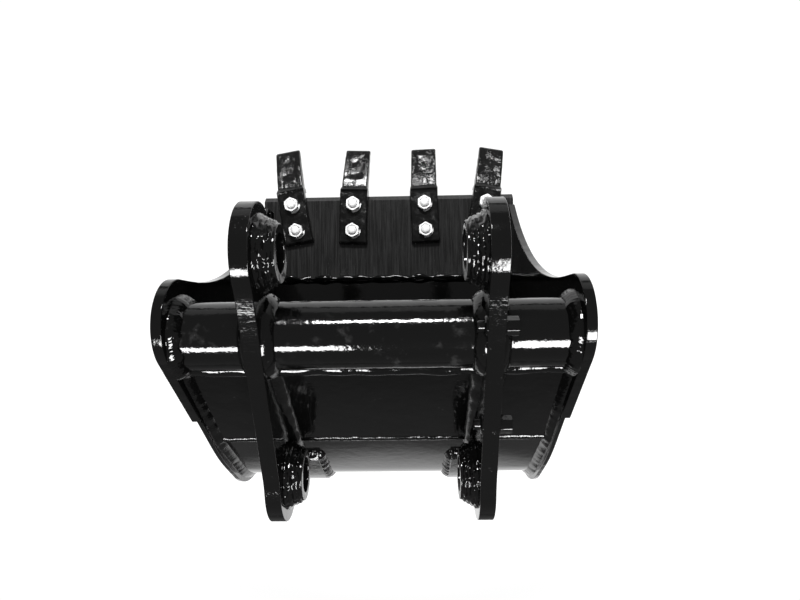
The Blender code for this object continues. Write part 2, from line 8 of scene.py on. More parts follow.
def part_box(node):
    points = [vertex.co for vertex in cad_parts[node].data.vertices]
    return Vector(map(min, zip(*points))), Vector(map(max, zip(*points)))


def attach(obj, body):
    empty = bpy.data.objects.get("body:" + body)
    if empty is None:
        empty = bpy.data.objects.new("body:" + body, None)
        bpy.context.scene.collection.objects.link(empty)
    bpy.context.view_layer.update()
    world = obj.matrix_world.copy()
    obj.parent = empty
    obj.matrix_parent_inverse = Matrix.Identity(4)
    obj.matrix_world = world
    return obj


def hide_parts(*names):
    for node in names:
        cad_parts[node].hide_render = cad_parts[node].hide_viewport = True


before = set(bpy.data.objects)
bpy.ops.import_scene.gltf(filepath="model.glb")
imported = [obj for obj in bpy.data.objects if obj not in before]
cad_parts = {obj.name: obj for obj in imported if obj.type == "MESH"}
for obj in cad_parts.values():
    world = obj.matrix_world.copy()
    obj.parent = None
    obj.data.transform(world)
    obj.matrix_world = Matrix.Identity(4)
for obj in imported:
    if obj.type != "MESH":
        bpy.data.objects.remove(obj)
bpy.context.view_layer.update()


# the frame's own places, all in the plane that cuts the bucket from front to back

def middleOf(node):
    low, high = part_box(node)
    return (low + high) / 2


def planar(point):
    return Vector((point.y, point.z))


def unit(angle):
    return Vector((math.cos(angle), math.sin(angle)))


def leftOf(way):
    return Vector((-way.y, way.x))


shell = {
    "thickness": 0.010,
    "sheetLean": math.radians(31.0),  # floor sheet below the seam, from upright
    "heelRadius": 0.186,
    "footStart": math.radians(-10.0),  # where the ear's foot starts on the tube
}
hands = {"left": -1, "right": 1}
ends = ("front", "rear")

lipLow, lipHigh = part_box("lip_plate")
sheetLow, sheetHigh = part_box("floor_sheet")
tubeLow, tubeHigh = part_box("torque_tube")
tubeMiddle = planar(middleOf("torque_tube"))
tubeRadius = (tubeHigh.z - tubeLow.z) / 2
seam = Vector((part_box("back_plate")[0].y, sheetHigh.z))
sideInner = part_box("side_edge_right")[0].x
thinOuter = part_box("side_plate_right")[1].x
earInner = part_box("ear_right")[0].x
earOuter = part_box("ear_right")[1].x
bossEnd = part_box("pin_boss_front_right")[0].x  # the end that stands inside the ears
pins = {place: planar(middleOf("pin_boss_%s_right" % place)) for place in ends}

xWay = Vector((1, 0, 0))
up, back = unit(math.pi / 2), unit(math.pi)
crest = tubeMiddle - Vector((tubeRadius, 0))  # where the back plate meets the tube
sheetDown = -unit(math.pi / 2 - shell["sheetLean"])
backUp = (crest - seam).normalized()
heelMiddle = Vector((sheetLow.y + shell["heelRadius"], shell["heelRadius"]))


# shader maths on sockets

class Tap:
    def __init__(self, graph, socket):
        self.graph = graph
        self.socket = socket

    def maths(self, operation, *others):
        values = dict(enumerate((self,) + others))
        return self.graph.node("ShaderNodeMath", {"operation": operation}, values)

    def __add__(self, other):
        return self.maths("ADD", other)

    def __sub__(self, other):
        return self.maths("SUBTRACT", other)

    def __rsub__(self, other):
        return self.graph.node("ShaderNodeMath", {"operation": "SUBTRACT"}, {0: other, 1: self})

    def __mul__(self, other):
        return self.maths("MULTIPLY", other)

    __radd__ = __add__
    __rmul__ = __mul__

    def band(self, low, high):  # 0 below low, 1 above high, eased between
        values = {"Value": self, "From Min": low, "From Max": high}
        return self.graph.node("ShaderNodeMapRange", {"interpolation_type": "SMOOTHSTEP"}, values)


class Graph:
    def __init__(self, tree):
        self.tree = tree
        tree.nodes.clear()

    def node(self, kind, settings=None, values=None, out=0):
        made = self.tree.nodes.new(kind)
        for name, value in (settings or {}).items():
            setattr(made, name, value)
        for name, value in (values or {}).items():
            if isinstance(value, Tap):
                self.tree.links.new(value.socket, made.inputs[name])
            else:
                made.inputs[name].default_value = value
        return Tap(self, made.outputs[out] if made.outputs else None)

    def vector(self, operation, *parts):
        values = dict(enumerate(parts))
        return self.node("ShaderNodeVectorMath", {"operation": operation}, values)

    def length(self, vector):
        return self.node("ShaderNodeVectorMath", {"operation": "LENGTH"}, {0: vector}, 1)

    def place(self, scale=(1, 1, 1)):  # where a point lies on the bucket, in metres
        return self.vector("MULTIPLY", self.node("ShaderNodeNewGeometry"), scale)

    def axis(self, vector, which):
        return self.node("ShaderNodeSeparateXYZ", None, {0: vector}, "XYZ".index(which))

    def cloud(self, scale, detail, stretch=(1, 1, 1), rough=0.5):
        values = {
            "Vector": self.place(stretch),
            "Scale": scale,
            "Detail": detail,
            "Roughness": rough,
        }
        return self.node("ShaderNodeTexNoise", None, values)

    def blend(self, share, first, second):
        return self.node("ShaderNodeMix", {"data_type": "RGBA"}, {0: share, 6: first, 7: second}, 2)

    def bump(self, height, depth, under=None):
        values = {"Height": height, "Distance": depth, "Strength": 1.0}
        if under:
            values["Normal"] = under
        return self.node("ShaderNodeBump", None, values)


def grey(level):
    return (level, level, level, 1.0)


def newMaterial(name):
    made = bpy.data.materials.new(name)
    made.use_nodes = True
    return made, Graph(made.node_tree)


def finishMaterial(graph, values):
    shader = graph.node("ShaderNodeBsdfPrincipled", None, values)
    graph.node("ShaderNodeOutputMaterial", None, {"Surface": shader})


# finishes

paintLook = {
    "black": 0.0014,
    "scuff": 0.055,  # grey where it is scuffed
    "gloss": 0.055,  # roughness where it isn't
    "dull": 0.30,  # roughness that a scuff adds
    "peel": 0.00012,  # depth of the orange peel
    "sag": 0.0011,  # depth of the long waves in the plate
    "drag": 0.022,  # grey of the streaks where something was dragged over it
    "specular": 0.30,
    "bareLitFace": (0.0002, 0.0007),  # the pale end face, partly bare metal and partly a painted highlight, fades out this far behind its edge
}


def thickPaint(name, peel=1.0, sag=1.0, black=1.0, streaks=0.0, dull=1.0, cutEdges=0.0,
               scuffs=1.0, bareAndLit=0.0):
    made, graph = newMaterial(name)
    wear = graph.cloud(34, 6, rough=0.62).band(0.56, 0.72)
    dust = graph.cloud(260, 3, rough=0.7).band(0.60, 0.74)
    rim = graph.node("ShaderNodeNewGeometry", None, None, "Pointiness").band(0.53, 0.60)
    worn = (wear * dust * 0.5 + rim * wear * 0.35) * scuffs
    colour = graph.blend(worn, grey(paintLook["black"] * black), grey(paintLook["scuff"]))
    if streaks:
        drag = graph.cloud(1, 5, stretch=(240, 9, 60), rough=0.75).band(0.38, 0.70)
        colour = graph.blend(drag * streaks, colour, grey(paintLook["drag"]))
    if bareAndLit:  # the machined end faces: paint rubbed off, and a painted highlight, pale only on the half that faces the key lamps
        near, far = paintLook["bareLitFace"]
        fromMiddle = graph.axis(graph.place(), "X").maths("ABSOLUTE")
        end = 1 - fromMiddle.band(bossEnd + near, bossEnd + far)
        # painted highlight: the pale face is kept to its -Y half, the side the key lamps light
        rubbedAndLit = 1 - graph.axis(graph.node("ShaderNodeTexCoord"), "Y").band(0.30, 0.62)
        end = end * rubbedAndLit * graph.cloud(70, 4).band(0.25, 0.55)
        colour = graph.blend(end, colour, grey(bareAndLit))
        worn = worn + end
    rough = paintLook["gloss"] * dull + worn * paintLook["dull"] + graph.cloud(18, 3) * 0.04
    waves = graph.bump(graph.cloud(11, 2), paintLook["sag"] * sag)
    skin = graph.cloud(230, 2) + graph.cloud(75, 2) * 2.2
    normal = graph.bump(skin, paintLook["peel"] * peel, under=waves)
    if cutEdges:  # fine lines across the flame-cut edges
        facing = graph.axis(graph.node("ShaderNodeNewGeometry", None, None, 1), "X")
        onEdge = 1 - facing.maths("ABSOLUTE").band(0.25, 0.6)
        lines = graph.cloud(1, 3, stretch=(24, 520, 520), rough=0.6)
        normal = graph.bump(lines * onEdge, cutEdges, under=normal)
    finishMaterial(graph, {
        "Base Color": colour, "Roughness": rough, "Normal": normal,
        "Specular IOR Level": paintLook["specular"],
    })
    return made


ironLook = {
    "black": 0.003,
    "rubbedAndLit": 0.008,
    "gloss": 0.13,  # roughness of the clean skin
    "dull": 0.08,
    "pits": 0.0006,  # depth of the cast skin
    "smooth": 0.25,  # what is left of the pits behind the blade
    "blade": (0.012, 0.022),  # where the blade's pits and its lighter colour, a painted sheen, start, in front of the lip
    "specular": 0.25,
}


def castIron(name):
    made, graph = newMaterial(name)
    near, far = ironLook["blade"]
    blade = graph.axis(graph.place(), "Y").band(lipHigh.y + near, lipHigh.y + far)
    patches = graph.cloud(60, 5, rough=0.65).band(0.46, 0.66)
    grains = graph.cloud(420, 3, rough=0.7)
    # the random patches are the iron's own lighter tone; the lighter blade is a painted sheen
    # standing in for its reflections of the white floor
    share = patches * 0.6 + blade * 0.4
    colour = graph.blend(share, grey(ironLook["black"]), grey(ironLook["rubbedAndLit"]))
    rough = ironLook["gloss"] + patches * ironLook["dull"]
    pitted = blade * graph.cloud(45, 2).band(0.44, 0.58) * (1 - ironLook["smooth"])
    depth = pitted + ironLook["smooth"]
    pits = graph.bump((grains + graph.cloud(150, 3) * 1.5) * depth, ironLook["pits"])
    finishMaterial(graph, {
        "Base Color": colour, "Roughness": rough, "Normal": pits,
        "Specular IOR Level": ironLook["specular"],
    })
    return made


zincLook = {
    "bright": 0.86,
    "stained": 0.68,
    "gloss": 0.26,
    "dull": 0.16,
    "metal": 0.15,
    "skin": 0.00006,
    "washerGlint": 0.90,
    "sprayedWasher": 0.006,
    "washerGloss": 0.16,
    "washerDull": 0.2,
    "washerSkin": 0.00008,
}


def washerWithPaintedGlint(name):  # black paint with a painted highlight: a pale crescent on the outer rim, on one side only, where the lamp glints
    made, graph = newMaterial(name)
    middle = graph.vector("SUBTRACT", graph.node("ShaderNodeTexCoord"), (0.5, 0.5, 0.5))
    away = graph.length(middle)
    glintSide = graph.axis(middle, "X") - graph.axis(middle, "Y")
    # painted highlight: pale only on the outer rim and on one side of the washer
    paintedGlint = (glintSide + graph.cloud(150, 2) * 0.3).band(0.50, 0.62) * away.band(0.46, 0.49)
    colour = graph.blend(paintedGlint, grey(zincLook["sprayedWasher"]), grey(zincLook["washerGlint"]))
    rough = zincLook["washerGloss"] + paintedGlint * zincLook["washerDull"]
    skin = graph.bump(graph.cloud(500, 2), zincLook["washerSkin"])
    finishMaterial(graph, {"Base Color": colour, "Roughness": rough, "Normal": skin})
    return made


def brightZinc(name):
    made, graph = newMaterial(name)
    marks = graph.cloud(300, 4, rough=0.7).band(0.40, 0.75)
    colour = graph.blend(marks, grey(zincLook["bright"]), grey(zincLook["stained"]))
    rough = zincLook["gloss"] + marks * zincLook["dull"]
    skin = graph.bump(graph.cloud(700, 2), zincLook["skin"])
    finishMaterial(graph, {
        "Base Color": colour, "Metallic": zincLook["metal"], "Roughness": rough, "Normal": skin,
    })
    return made


finishes = {
    # painted shade: black=0.7 makes the back plate's gloss black darker than the same paint on the
    # other parts
    "plate": thickPaint("glossBlackPlate", peel=0.7, black=0.7),
    "floor": thickPaint("glossBlackFloor", peel=0.35, sag=0.35),
    "tube": thickPaint("glossBlackTube", peel=1.2, sag=0.9),
    "ear": thickPaint("glossBlackEar", sag=0.7, cutEdges=0.00008, scuffs=2.2),
    "side": thickPaint("glossBlackSide", cutEdges=0.00008, scuffs=1.6),
    "boss": thickPaint("glossBlackBoss", peel=0.8, sag=0.3, bareAndLit=0.16),
    "weld": thickPaint("paintedWeld", peel=1.5, sag=0.3, black=0.8),
    "strap": thickPaint("glossBlackStrap", peel=1.2, black=4.0, dull=1.6),
    "lip": thickPaint("streakedLipPaint", sag=0.6, black=4.0, streaks=1.0, dull=2.4),
    "cast": castIron("blackCastIron"),
    "washer": washerWithPaintedGlint("washerWithPaintedGlint"),
    "zinc": brightZinc("brightZincPlate"),
}
print("finishes made:", len(finishes))


# turning points into pieces

def addPiece(name, mesh, finish, nodes=()):
    mesh.materials.clear()
    mesh.materials.append(finishes[finish])
    piece = bpy.data.objects.new(name, mesh)
    bpy.context.scene.collection.objects.link(piece)
    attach(piece, "root")
    if nodes:
        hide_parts(*nodes)
    return piece


def shade(mesh, sharpest=32.0):
    mesh.shade_smooth()
    mesh.set_sharp_from_angle(angle=math.radians(sharpest))


def flattenShading(piece):  # large flat faces keep their own normal next to a rounded edge
    weigh = piece.modifiers.new("weighed", "WEIGHTED_NORMAL")
    weigh.keep_sharp = True
    weigh.weight = 90


def sheetOf(rings, closedRun=False):  # a skin over rings of points, capped where it is open
    mesh = bpy.data.meshes.new("sheet")
    work = bmesh.new()
    made = [[work.verts.new(point) for point in ring] for ring in rings]
    for first, second in zip(made, made[1:] + (made[:1] if closedRun else [])):
        for at in range(len(first)):
            after = (at + 1) % len(first)
            work.faces.new((first[at], first[after], second[after], second[at]))
    if not closedRun:
        work.faces.new(made[0])
        work.faces.new(made[-1])
    bmesh.ops.recalc_face_normals(work, faces=work.faces)
    work.to_mesh(mesh)
    work.free()
    return mesh


def circle(matrix, sides, height, reachAt):
    ring = []
    for at in range(sides):
        angle = 2 * math.pi * at / sides
        reach = reachAt(angle)
        ring.append(matrix @ Vector((reach * math.cos(angle), reach * math.sin(angle), height)))
    return ring


# plates: the outline comes from the frame's own solid and is made smooth and fine

plateLook = {
    "corner": math.radians(10.0),  # a sharper turn of the outline stays a corner
    "broken": 0.0012,  # the solids' broken edge, which leaves their caps this much smaller
    "rounding": 0.0014,
    "fineScale": 420,  # the cut edge's fine steps
    "slowScale": 60,  # and its slow wander
    "fineShare": 0.15,
    "samePoint": 0.00001,
}


def capLoops(node):  # the outlines of the solid's cap, the longest first
    work = bmesh.new()
    work.from_mesh(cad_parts[node].data)
    samePoint = plateLook["samePoint"]
    bmesh.ops.remove_doubles(work, verts=work.verts, dist=2 * samePoint)
    low = min(vertex.co.x for vertex in work.verts)
    cap = {face for face in work.faces if all(abs(v.co.x - low) < samePoint for v in face.verts)}
    around = {}
    for edge in work.edges:
        if len([face for face in edge.link_faces if face in cap]) == 1:
            first, second = edge.verts
            around.setdefault(first, []).append(second)
            around.setdefault(second, []).append(first)
    loops = []
    while around:
        start = next(iter(around))
        loop = [start]
        before, here = None, start
        while True:
            following = [v for v in around[here] if v is not before]
            before, here = here, following[0]
            if here is start:
                break
            loop.append(here)
        for vertex in loop:
            del around[vertex]
        loops.append([planar(vertex.co) for vertex in loop])
    work.free()
    return sorted(loops, key=lambda loop: -sum((a - b).length for a, b in zip(loop, loop[1:])))


def tangents(loop):
    ways = []
    for at, point in enumerate(loop):
        before = point - loop[at - 1]
        after = loop[(at + 1) % len(loop)] - point
        if abs(before.angle_signed(after)) > plateLook["corner"]:
            ways.append((before.normalized(), after.normalized()))
        else:
            through = (before + after).normalized()
            ways.append((through, through))
    return ways


def smoothLoop(loop, step):
    ways = tangents(loop)
    fine = []
    for at, start in enumerate(loop):
        end = loop[(at + 1) % len(loop)]
        leave = ways[at][1]
        land = ways[(at + 1) % len(loop)][0]
        span = (end - start).length
        parts = max(1, round(span / step))
        for part in range(parts):
            t = part / parts
            fine.append(
                start * (1 + 2 * t) * (1 - t) ** 2 + leave * span * t * (1 - t) ** 2
                + end * t * t * (3 - 2 * t) - land * span * t * t * (1 - t))
    return fine


def jagged(loop, depth, seed):  # flame-cut edge: fine steps along it, and slow wander
    quick, long = plateLook["fineScale"], plateLook["slowScale"]
    moved = []
    for at, point in enumerate(loop):
        way = (loop[(at + 1) % len(loop)] - loop[at - 1]).normalized()
        fine = noise.noise(Vector((point.x * quick, point.y * quick, seed)))
        slow = noise.noise(Vector((point.x * long, point.y * long, seed + 9)))
        moved.append(point + leftOf(way) * depth * (plateLook["fineShare"] * fine + slow))
    return moved


def plate(node, finish, step=0.004, broken=True, jag=0.0):
    low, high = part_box(node)
    rounding = plateLook["rounding"]
    curve = bpy.data.curves.new(node + "Outline", "CURVE")
    curve.dimensions = "2D"
    curve.fill_mode = "BOTH"
    curve.extrude = (high.x - low.x) / 2 - rounding
    curve.bevel_depth = rounding
    curve.bevel_resolution = 2
    curve.offset = (plateLook["broken"] if broken else 0.0) - rounding
    for at, loop in enumerate(capLoops(node)):
        fine = smoothLoop(loop, step)
        if jag and at == 0:
            fine = jagged(fine, jag, low.x * 10)
        spline = curve.splines.new("POLY")
        spline.use_cyclic_u = True
        spline.points.add(len(fine) - 1)
        for place, point in zip(spline.points, fine):
            place.co = (point.x, point.y, 0.0, 1.0)
    shape = bpy.data.objects.new(node + "Outline", curve)
    bpy.context.scene.collection.objects.link(shape)
    ready = bpy.context.evaluated_depsgraph_get()
    mesh = bpy.data.meshes.new_from_object(shape.evaluated_get(ready))
    bpy.data.objects.remove(shape)
    middle = (low.x + high.x) / 2
    mesh.transform(Matrix(((0, 0, 1, middle), (1, 0, 0, 0), (0, 1, 0, 0), (0, 0, 0, 1))))
    work = bmesh.new()
    work.from_mesh(mesh)
    bmesh.ops.remove_doubles(work, verts=work.verts, dist=plateLook["samePoint"])
    bmesh.ops.recalc_face_normals(work, faces=work.faces)
    work.to_mesh(mesh)
    work.free()
    shade(mesh, 40)
    flattenShading(addPiece(node + "Plate", mesh, finish, (node,)))


for hand in hands:
    plate("side_edge_" + hand, "side", step=0.003, jag=0.00025)
    plate("side_plate_" + hand, "side", step=0.004, jag=0.00015)
    plate("ear_" + hand, "ear", step=0.0015, jag=0.00016)
    plate("heel_strap_" + hand, "strap", broken=False)
plate("floor_sheet", "floor", broken=False)
plate("back_plate", "plate", broken=False)
plate("lip_plate", "lip", broken=False)
print("plates made")


# turned pieces

def turned(profile, sides, matrix, wobble=None):
    rings = []
    for radius, height in profile:
        def reachAt(angle):
            return radius + (wobble(angle, radius, height) if wobble else 0.0)
        rings.append(circle(matrix, sides, height, reachAt))
    return sheetOf(rings, closedRun=True)


def alongX(x, spot, side=1):
    return Matrix.Translation((x, spot.x, spot.y)) @ Matrix.Rotation(side * math.pi / 2, 4, "Y")


tubeLook = {"wall": 0.0142, "chamfer": 0.001, "sides": 160}


def makeTube():
    bore = tubeRadius - tubeLook["wall"]
    chamfer = tubeLook["chamfer"]
    reach = tubeHigh.x
    profile = [
        (bore, -reach), (tubeRadius - chamfer, -reach), (tubeRadius, -reach + chamfer),
        (tubeRadius, reach - chamfer), (tubeRadius - chamfer, reach), (bore, reach),
    ]
    mesh = turned(profile, tubeLook["sides"], alongX(0, tubeMiddle))
    shade(mesh)
    flattenShading(addPiece("torqueTube", mesh, "tube", ("torque_tube",)))


makeTube()


bossLook = {
    "radius": 0.042, "bore": 0.028, "sides": 240,
    "length": 0.0275,  # how far it stands out of the ear's inner face
    "rim": 0.0022,  # rounding of that end
    "outerEnd": 0.0248,  # from the same face to the end in the ear's outer face
    "outerEdge": 0.001,
    "collar": 0.014,  # how far the weld collar spreads on the ear
    "reach": 0.0235,  # how far it comes up the boss
    "skin": 0.0022,  # its thickness there
    "flare": 1.7, "passes": 4, "swell": 0.0013, "lump": 0.0012, "steps": 32,
}


def makeBoss(place, hand):
    side = hands[hand]
    node = "pin_boss_%s_%s" % (place, hand)
    radius, bore, rim = bossLook["radius"], bossLook["bore"], bossLook["rim"]
    length, end, edge = bossLook["length"], bossLook["outerEnd"], bossLook["outerEdge"]
    skin, steps = bossLook["skin"], bossLook["steps"]
    profile = [(bore, end - 0.2 * edge), (bore, -length + rim)]
    for at in range(1, 5):
        turn = at * math.pi / 8
        profile.append((bore + rim * (1 - math.cos(turn)), -length + rim * (1 - math.sin(turn))))
    for at in range(5):
        turn = at * math.pi / 8
        profile.append((radius - rim * (1 - math.sin(turn)), -length + rim * (1 - math.cos(turn))))
    for at in range(steps + 1):
        t = at / steps
        swell = bossLook["swell"] * abs(math.sin(math.pi * bossLook["passes"] * t))
        out = skin + (bossLook["collar"] - skin) * t ** bossLook["flare"]
        z = -bossLook["reach"] * (1 - t) - 0.0003
        profile.append((radius + out * min(1.0, 6 * t) + swell, z))
    profile += [(radius, 0.0), (radius, end - 0.8 * edge), (radius - edge, end), (bore + edge, end)]
    seed = 7.0 * side + (3.0 if place == "front" else 1.0)

    def lumps(angle, reach, height):  # on the collar alone
        if not -length + rim < height < -0.0004 or reach < radius + 0.0001:
            return 0.0
        about = Vector((math.cos(angle), math.sin(angle), 0))
        ripple = math.sin(angle * 44 + 15 * math.sin(reach * 900) + seed)
        drift = noise.noise(about * 6 + Vector((0, 0, height * 210 + seed)))
        grit = noise.noise(about * 26 + Vector((0, 0, height * 900 + seed)))
        return bossLook["lump"] * (0.05 * ripple + 1.5 * drift + 0.07 * grit)

    stand = alongX(side * earInner, pins[place], side)
    mesh = turned(profile, bossLook["sides"], stand, lumps)
    shade(mesh, 50)
    addPiece(node + "Boss", mesh, "boss", (node,))


for hand in hands:
    for place in pins:
        makeBoss(place, hand)
print("tube and bosses made")


# welds: a station is the weld's root with the two ways its legs run and the way it bulges

beadLook = {
    "step": 0.0011,  # between stations
    "sunk": 0.0005,  # the toes lie this far under the faces
    "root": 0.0008,  # how far the bead reaches behind the corner
    "bow": 0.55,  # how far the middle of a ripple runs ahead
    "uneven": 0.3,
    "overlap": 0.004,  # where one face's weld runs on to the next
    "underHeel": math.radians(55.0),  # how far the sides' welds go on under the heel
    "underStrap": math.radians(52.0),  # and the straps' welds
    "innerTop": math.radians(38.0),  # where the inner welds start, round the tube
    "studRadius": 0.0082,
}
beads = {
    "lip": {"legs": (0.0094, 0.011), "height": 0.0062, "lump": 0.7, "ripple": 0.0,
            "waves": 35, "grit": 0.0002},
    "seam": {"legs": (0.0065, 0.0065), "height": 0.0034},
    "tubeBack": {"legs": (0.009, 0.011), "height": 0.0058, "lump": 0.6, "ripple": 0.0,
                 "waves": 22, "grit": 0.0001},
    "tubeEnd": {"legs": (0.017, 0.013), "height": 0.0018, "lump": 0.22, "ripple": 0.0004,
                "pitch": 0.0055, "grit": 0.0005},
    "shellOuter": {"legs": (0.012, 0.0105), "height": 0.0004, "lump": 0.08, "ripple": 0.0,
                   "grit": 0.00040},
    "shellInner": {"legs": (0.009, 0.009), "height": 0.0012},
    "lipSide": {"legs": (0.008, 0.008), "height": 0.0010},
    "sideJoint": {"legs": (0.009, 0.0075), "height": 0.0008},
    "earInner": {"legs": (0.016, 0.013), "height": 0.0015, "lump": 0.10, "ripple": 0.0001,
                 "waves": 40, "grit": 0.0003},
    "earOuter": {"legs": (0.012, 0.011), "height": 0.0015, "lump": 0.10, "ripple": 0.0001,
                 "waves": 40, "grit": 0.0003},
    "strap": {"legs": (0.012, 0.010), "height": 0.0012, "lump": 0.3, "ripple": 0.0012,
              "pitch": 0.0040},
    "strapEnd": {"legs": (0.010, 0.011), "height": 0.0015, "lump": 0.6, "ripple": 0.0016,
                 "pitch": 0.0050},
    "stud": {"legs": (0.004, 0.007), "height": 0.0008, "pitch": 0.0030, "across": 8},
}


def station(root, first, second, outward=None):
    return root, first, second, (outward or first + second).normalized()


def fromPlane(x, point):
    return Vector((x, point.x, point.y))


def weld(name, stations, legs, height, pitch=0.0032, ripple=0.0009, lump=0.25, seed=1.0,
         closed=False, across=12, waves=60, grit=0.00035):
    lengths = [0.0]
    for before, after in zip(stations, stations[1:]):
        lengths.append(lengths[-1] + (after[0] - before[0]).length)
    total = lengths[-1]
    tail = max(legs)
    rings = []
    for (root, first, second, outward), run in zip(stations, lengths):
        fade = 1.0
        if not closed:  # rounded ends
            near = min(run, total - run) / tail
            fade = math.sqrt(max(0.02, min(1.0, near) * (2 - min(1.0, near))))
        wide = 1 + lump * noise.noise(Vector((run * waves, seed, 0)))
        tall = 1 + lump * noise.noise(Vector((run * waves, seed, 5)))
        drift = beadLook["uneven"] * noise.noise(Vector((run * 120, seed, 9)))
        ring = []
        for at in range(across + 1):
            t = at / across
            crown = 4 * t * (1 - t)
            beat = (run / pitch + beadLook["bow"] * crown + drift) % 1
            wave = ripple * (beat ** 0.7 - 0.5) * min(1.0, 2.5 * crown)
            grain = grit * noise.noise(Vector((run * 700, t * 9, seed)))
            base = first * legs[0] * (1 - t) + second * legs[1] * t
            rise = height * crown ** 0.8 * tall + (wave + grain) - beadLook["sunk"] * (1 - crown)
            ring.append(root + (base * wide + outward * rise) * fade)
        ring.append(root - outward * beadLook["root"])
        rings.append(ring)
    mesh = sheetOf(rings, closedRun=closed)
    shade(mesh, 70)
    addPiece(name, mesh, "weld")


def line(start, end):
    count = max(2, round((end - start).length / beadLook["step"]))
    return [start.lerp(end, at / count) for at in range(count + 1)]


def arcPoints(middle, radius, start, end):
    count = max(2, round(radius * abs(end - start) / beadLook["step"]))
    return [middle + unit(start + (end - start) * at / count) * radius for at in range(count + 1)]


def angleOf(way):
    return math.atan2(way.y, way.x) % (2 * math.pi)


def outerRun(underAngle):  # down the back plate, the floor sheet and round the heel, outside
    backNormal = leftOf(backUp)
    sheetNormal = -leftOf(sheetDown)
    start = angleOf(sheetNormal)
    bend = arcPoints(heelMiddle, shell["heelRadius"], start, math.pi + underAngle)
    run = [(point, backNormal) for point in line(crest - backUp * beadLook["overlap"], seam)[:-1]]
    run += [(point, sheetNormal) for point in line(seam, bend[0])[:-1]]
    run += [(point, (point - heelMiddle).normalized()) for point in bend]
    return run


def innerRun():  # the same inside, on to the lip
    backNormal = -leftOf(backUp)
    sheetNormal = leftOf(sheetDown)
    thick = shell["thickness"]
    low = tubeMiddle - unit(beadLook["innerTop"]) * tubeRadius
    reach = (low - seam - backNormal * thick).dot(backUp)
    corner = seam + backNormal * thick
    radius = shell["heelRadius"] - thick
    bend = arcPoints(heelMiddle, radius, angleOf(-sheetNormal), 1.5 * math.pi)
    turn = corner + backUp * beadLook["overlap"]
    run = [(point, backNormal) for point in line(corner + backUp * reach, turn)[:-1]]
    run += [(point, sheetNormal) for point in line(turn, bend[0])[:-1]]
    run += [(point, (heelMiddle - point).normalized()) for point in bend[:-1]]
    run += [(point, up) for point in line(bend[-1], Vector((lipLow.y, thick)))]
    return run


def footRun(toe):  # the ear's foot: over the tube, down the back plate and the floor sheet
    over = arcPoints(tubeMiddle, tubeRadius, shell["footStart"], math.pi)
    run = [(point, (point - tubeMiddle).normalized()) for point in over[:-1]]
    run += [(point, leftOf(backUp)) for point in line(over[-1], seam)[:-1]]
    run += [(point, -leftOf(sheetDown)) for point in line(seam, seam + sheetDown * toe)]
    return run


def strapRun(start, end):  # down the floor sheet and round the heel, beside a strap
    normal = -leftOf(sheetDown)
    bend = arcPoints(heelMiddle, shell["heelRadius"], angleOf(normal), math.pi + end)
    run = [(point, normal) for point in line(seam + sheetDown * start, bend[0])[:-1]]
    return run + [(point, (point - heelMiddle).normalized()) for point in bend]


def roundRun(middle, radius):
    ring = arcPoints(middle, radius, 0, 2 * math.pi)[:-1]
    return [(point, (point - middle).normalized()) for point in ring]


def sideFillets(run, x, way):
    return [
        station(fromPlane(x, point), xWay * way, fromPlane(0, normal))
        for point, normal in run
    ]


def acrossFillet(point, first, second, outward, low, high):
    ways = [fromPlane(0, way) for way in (first, second, outward)]
    return [station(root, *ways) for root in line(fromPlane(low, point), fromPlane(high, point))]


def makeShellWelds():
    lipRoot = Vector((lipLow.y - 0.002, shell["thickness"] + 0.005))
    ahead = (Vector((lipLow.y + 0.006, lipHigh.z)) - lipRoot).normalized()
    weld("lipWeld", acrossFillet(lipRoot, ahead, back - up * 0.6, up, -sideInner, sideInner),
         seed=2, **beads["lip"])
    seamOut = leftOf(backUp) - leftOf(sheetDown)
    tubeFoot = crest + Vector((0.0012, 0))
    tubeFootOut = leftOf(backUp) + back
    stretches = ((-sideInner, -earOuter), (-earInner, earInner), (earOuter, sideInner))
    for at, (low, high) in enumerate(stretches):
        weld("seamWeld_%d" % at, acrossFillet(seam, backUp, sheetDown, seamOut, low, high),
             seed=11 + at, **beads["seam"])
        weld("tubeBackWeld_%d" % at, acrossFillet(tubeFoot, up, -backUp, tubeFootOut, low, high),
             seed=21 + at, **beads["tubeBack"])
    lipTop = [(point, up) for point in line(
        Vector((lipLow.y, lipHigh.z)), Vector((lipHigh.y - 0.033, lipHigh.z)))]
    for hand, side in hands.items():
        inner = side * sideInner
        weld("shellOuterWeld_" + hand, sideFillets(outerRun(beadLook["underHeel"]), inner, -side),
             seed=31 + side, **beads["shellOuter"])
        weld("shellInnerWeld_" + hand, sideFillets(innerRun(), inner, -side),
             seed=41 + side, **beads["shellInner"])
        weld("lipSideWeld_" + hand, sideFillets(lipTop, inner, -side),
             seed=51 + side, **beads["lipSide"])


def makeTubeWelds():
    run = roundRun(tubeMiddle, tubeRadius)
    for hand, side in hands.items():
        weld("tubeEndWeld_" + hand, sideFillets(run, side * sideInner, -side),
             seed=61 + side, closed=True, **beads["tubeEnd"])


def makeEarWelds():
    for hand, side in hands.items():
        toe = (seam.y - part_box("ear_" + hand)[0].z) / math.cos(shell["sheetLean"])
        run = footRun(toe)
        weld("earInnerWeld_" + hand, sideFillets(run, side * earInner, -side),
             seed=71 + side, **beads["earInner"])
        weld("earOuterWeld_" + hand, sideFillets(run, side * earOuter, side),
             seed=81 + side, **beads["earOuter"])


def makeSideJoints():  # where the thick front part of a side meets the thin one
    for hand, side in hands.items():
        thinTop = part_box("side_plate_" + hand)[1].z
        level = [p for p in capLoops("side_edge_" + hand)[0] if abs(p.y - thinTop) < 0.02]
        top = min(level, key=lambda p: p.x)
        foot = Vector((lipLow.y, lipHigh.z + 0.002))
        down = (foot - top).normalized()
        rearward = -leftOf(down) if leftOf(down).x > 0 else leftOf(down)
        stations = []
        for point in line(top + down * 0.002, foot):
            root = fromPlane(side * thinOuter, point)
            stations.append(station(root, fromPlane(0, rearward), xWay * side))
        weld("sideJointWeld_" + hand, stations, seed=91 + side, **beads["sideJoint"])


